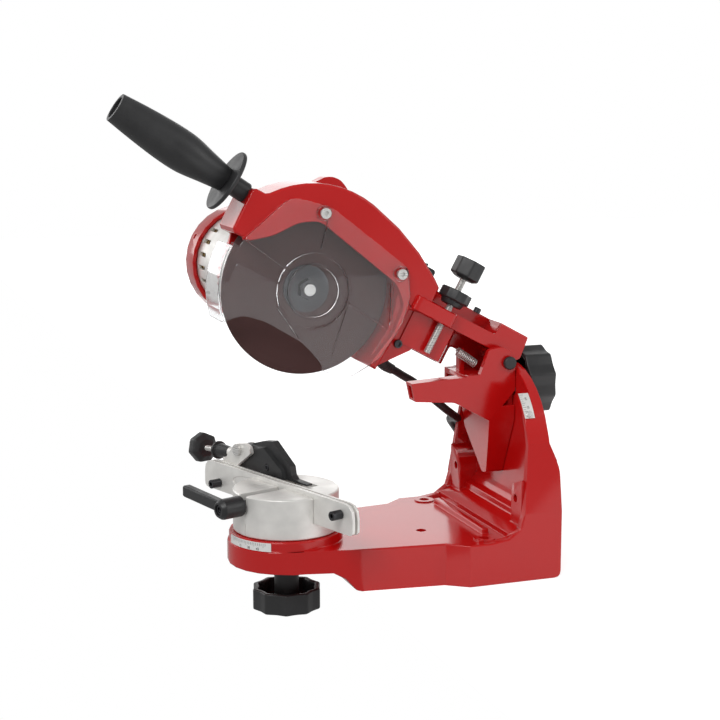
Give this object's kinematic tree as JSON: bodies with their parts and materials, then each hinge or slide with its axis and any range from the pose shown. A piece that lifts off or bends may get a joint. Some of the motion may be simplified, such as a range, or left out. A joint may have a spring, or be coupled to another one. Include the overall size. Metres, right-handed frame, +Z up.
{
  "type": "electric chainsaw sharpener",
  "caption": "Bench-mounted electric sharpener for saw chains: cast base with a turning chain vice, tilting bracket, and swinging motor head with grinding wheel, clear guard and handle.",
  "frame": {"origin": "Under the middle of the foot, on the plane of the bench that the foot is screwed to.", "axes": "+X from the chain vice towards the column, +Y away from the user, +Z up."},
  "size_m": [0.5201, 0.3684, 0.4331],
  "materials": {
    "red_paint": "glossy red powder coat",
    "black_plastic": "moulded black plastic, lightly grained",
    "cable_rubber": "smooth black cable sheath",
    "silver": "satin machined aluminium",
    "steel": "bright zinc-plated steel",
    "dark_steel": "blackened steel",
    "white_label": "printed white scale strip",
    "abrasive": "bonded brown abrasive, rough",
    "clear": "clear moulded polycarbonate",
    "copper": "copper-coloured plated steel",
    "brass": "plain brass"
  },
  "bodies": {
    "base": {"base_casting": "red_paint", "vise_scale": "white_label", "tilt_scale": "silver", "tilt_scale_screw": "steel", "tilt_pivot_bolt": "dark_steel", "column_lead_clip": "black_plastic", "lead_lower": "cable_rubber", "mains_cord": "cable_rubber", "cord_coil": "cable_rubber", "plug_body": "black_plastic", "plug_pins": "brass"},
    "turntable": {"turntable": "silver", "rail_rear": "silver", "guide_screw_left": "dark_steel", "guide_screw_right": "dark_steel", "stop_bracket": "silver", "base_lock_bolt": "dark_steel", "stop_pivot_pin": "steel"},
    "base_knob": {"base_lock_knob": "black_plastic"},
    "front_rail": {"rail_front": "silver"},
    "clamp": {"clamp_lever": "black_plastic", "clamp_screw": "dark_steel"},
    "pawl": {"stop_pawl": "black_plastic"},
    "stop_rod": {"stop_rod": "steel"},
    "stop_knob": {"stop_knob": "black_plastic"},
    "stop_nut": {"stop_lock_nut": "black_plastic"},
    "bracket": {"tilt_bracket": "red_paint", "tilt_lock_bolt": "dark_steel", "swing_pin": "steel", "pin_cap": "black_plastic", "return_spring": "steel", "bracket_lead_clip": "black_plastic", "lead_upper": "cable_rubber"},
    "tilt_knob": {"tilt_lock_knob": "black_plastic"},
    "head": {"head_casting": "red_paint", "clear_guard": "clear", "guard_screw_front": "steel", "guard_screw_back": "steel", "spindle_bearing_front": "steel", "spindle_bearing_rear": "steel", "rotor_bearing": "steel", "stator": "dark_steel", "brush_gear": "brass", "motor_housing": "silver", "motor_cap": "red_paint", "switch_box": "black_plastic", "handle_guard": "black_plastic", "handle_grip": "black_plastic", "handle_stud": "steel", "handle_nut": "copper", "strain_relief": "black_plastic"},
    "wheel": {"grinding_wheel": "abrasive", "flange_nut": "dark_steel", "spindle": "steel", "spindle_gear": "steel"},
    "rotor": {"rotor": "copper"},
    "rocker": {"switch_rocker": "black_plastic"},
    "depth_rod": {"depth_rod": "steel"},
    "depth_knob": {"depth_knob": "black_plastic"},
    "depth_nut": {"depth_lock_nut": "black_plastic"}
  },
  "joints": [
    {"name": "vise_turn", "type": "hinge", "parent": "base", "child": "turntable", "pos_m": [-0.133, 0, 0.06], "axis": [0, 0, 1], "range_deg": [-54, 16]},
    {"name": "base_knob_turn", "type": "hinge", "parent": "turntable", "child": "base_knob", "pos_m": [-0.133, 0, -0.015], "axis": [0, 0, 1], "range_deg": [-180, 180]},
    {"name": "clamp_turn", "type": "hinge", "parent": "turntable", "child": "clamp", "pos_m": [-0.1803, -0.0162, 0.07], "axis": [0.9461, 0.3239, 0], "range_deg": [0, 80]},
    {"name": "front_rail_close", "type": "slide", "parent": "turntable", "child": "front_rail", "axis": [0.9461, 0.3239, 0], "range_m": [0, 0.000977]},
    {"name": "pawl_flip", "type": "hinge", "parent": "turntable", "child": "pawl", "pos_m": [-0.14537, 0.07504, 0.0965], "axis": [-0.9461, -0.3239, 0], "range_deg": [0, 25]},
    {"name": "stop_feed", "type": "slide", "parent": "turntable", "child": "stop_rod", "axis": [0.3228, -0.9429, 0.0819], "range_m": [-0.00187, 0.00187]},
    {"name": "stop_knob_turn", "type": "hinge", "parent": "stop_rod", "child": "stop_knob", "pos_m": [-0.15519, 0.1037, 0.0882], "axis": [0.3228, -0.9429, 0.0819], "range_deg": [-540, 540]},
    {"name": "stop_nut_turn", "type": "hinge", "parent": "turntable", "child": "stop_nut", "pos_m": [-0.15519, 0.1037, 0.0882], "axis": [0.3228, -0.9429, 0.0819], "range_deg": [-90, 90]},
    {"name": "head_tilt", "type": "hinge", "parent": "base", "child": "bracket", "pos_m": [0.057, 0, 0.1], "axis": [1, 0, 0], "range_deg": [-10, 20], "deforming": ["lead_lower"]},
    {"name": "tilt_knob_turn", "type": "hinge", "parent": "bracket", "child": "tilt_knob", "pos_m": [0.092, 0, 0.1566], "axis": [1, 0, 0], "range_deg": [-180, 180]},
    {"name": "head_swing", "type": "hinge", "parent": "bracket", "child": "head", "pos_m": [0.0611, 0, 0.1777], "axis": [0, -1, 0], "range_deg": [0, 17.5], "deforming": ["return_spring", "lead_upper"]},
    {"name": "wheel_spin", "type": "hinge", "parent": "head", "child": "wheel", "pos_m": [-0.1152, 0, 0.24733], "axis": [0, 1, 0], "continuous": true},
    {"name": "rotor_spin", "type": "hinge", "parent": "head", "child": "rotor", "pos_m": [-0.13657, 0.06, 0.25889], "axis": [0, 1, 0], "continuous": true},
    {"name": "switch_press", "type": "hinge", "parent": "head", "child": "rocker", "pos_m": [-0.00168, 0.0363, 0.25712], "axis": [0, 1, 0], "range_deg": [0, 10]},
    {"name": "depth_feed", "type": "slide", "parent": "head", "child": "depth_rod", "axis": [0.4756, 0, 0.8796], "range_m": [0, 0.00625]},
    {"name": "depth_knob_turn", "type": "hinge", "parent": "depth_rod", "child": "depth_knob", "pos_m": [0.02331, -0.017, 0.25498], "axis": [0.4756, 0, 0.8796], "range_deg": [0, 1800]},
    {"name": "depth_nut_turn", "type": "hinge", "parent": "depth_rod", "child": "depth_nut", "pos_m": [0.01379, -0.017, 0.23738], "axis": [0.4756, 0, 0.8796], "range_deg": [-90, 90]}
  ],
  "couplings": [
    {"joint": "clamp_turn", "follows": "front_rail_close", "rad_per_m": 1428.6},
    {"joint": "stop_knob_turn", "follows": "stop_feed", "rad_per_m": 5026.6},
    {"joint": "depth_knob_turn", "follows": "depth_feed", "rad_per_m": 5026.6},
    {"joint": "rotor_spin", "follows": "wheel_spin", "ratio": -2.4286}
  ]
}
